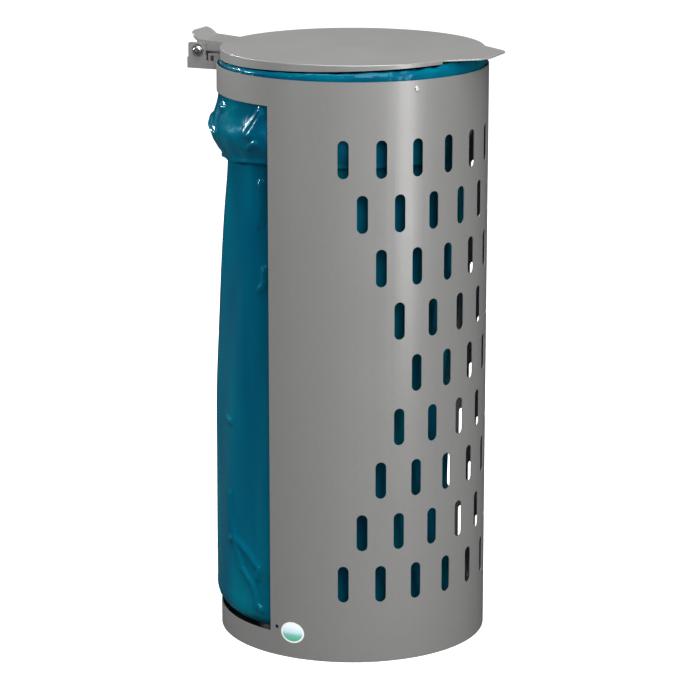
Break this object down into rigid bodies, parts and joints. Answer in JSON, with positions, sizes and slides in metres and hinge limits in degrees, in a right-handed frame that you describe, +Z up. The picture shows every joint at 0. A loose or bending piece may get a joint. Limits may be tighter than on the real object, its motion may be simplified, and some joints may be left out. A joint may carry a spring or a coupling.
{
  "type": "perforated waste bin",
  "caption": "Slotted round sheet metal waste bin with a window at the back, a bag hung on a bar ring and a flat lid hinged on a wall bracket.",
  "frame": {"origin": "centre of the floor pan's underside, on the mantle's axis", "axes": "+Z up along the mantle; +Y to the back, where the window, the hinge and the wall are; the lid's tab points to -Y; +X to the right as seen from the front"},
  "size_m": [0.4, 0.4792, 0.8957],
  "materials": {
    "powder_coat": "semi-gloss grey powder coat with a fine speckle",
    "plated_steel": "bright zinc plating",
    "film": "thin glossy translucent film",
    "nylon": "plain natural nylon"
  },
  "bodies": {
    "bin": {"mantle": "powder_coat", "floor_pan": "powder_coat", "bag_ring": "powder_coat", "ring_rest_left": "powder_coat", "ring_rest_right": "powder_coat", "ring_rest_rivet_left": "plated_steel", "ring_rest_rivet_right": "plated_steel", "bag": "film", "hinge_bracket": "powder_coat", "hinge_bolt": "plated_steel", "hinge_cap_nut": "plated_steel", "hinge_washer_left": "plated_steel", "hinge_washer_right": "plated_steel", "hinge_bush_left": "nylon", "hinge_bush_right": "nylon", "hinge_spacer": "plated_steel"},
    "lid": {"lid": "powder_coat", "lid_arm": "powder_coat"}
  },
  "joints": [
    {"name": "lid_hinge", "type": "hinge", "parent": "bin", "child": "lid", "pos_m": [0, 0.2335, 0.8687], "axis": [-1, 0, 0], "range_deg": [0, 90]}
  ]
}
